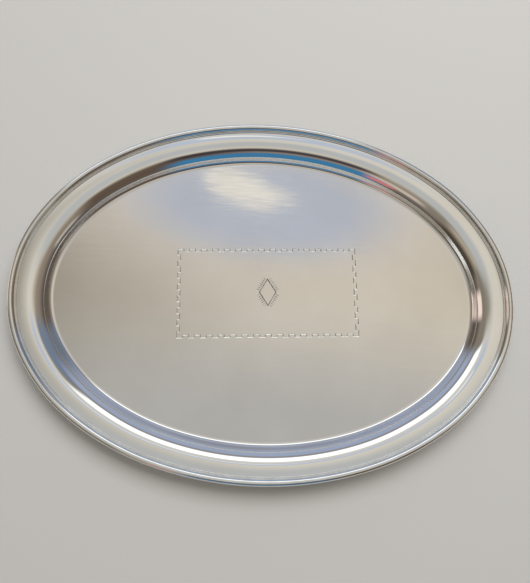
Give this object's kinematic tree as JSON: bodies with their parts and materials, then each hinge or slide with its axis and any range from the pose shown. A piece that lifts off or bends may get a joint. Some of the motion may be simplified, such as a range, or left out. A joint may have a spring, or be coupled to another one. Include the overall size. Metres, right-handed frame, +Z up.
{
  "type": "oval serving tray",
  "caption": "Oval silver serving tray with a sunken flat, a stepped-up border, a moulded rim wire and a light engraved frame.",
  "frame": {"origin": "under the middle of the tray, on the surface it stands on", "axes": "+X along the tray's length, +Y across it, +Z up out of the well"},
  "size_m": [0.44, 0.32, 0.0193],
  "materials": {
    "sheet_silver": "hand-polished silver, fine hairline scratches on the flat",
    "wire_silver": "bright polished silver",
    "silver_solder": "polished hard solder, slightly greyer"
  },
  "bodies": {
    "root": {"tray_body": "sheet_silver", "rim_wire_far": "wire_silver", "rim_wire_near": "wire_silver", "wire_joint_left": "silver_solder", "wire_joint_right": "silver_solder", "rim_solder_film": "silver_solder"}
  },
  "joints": []
}
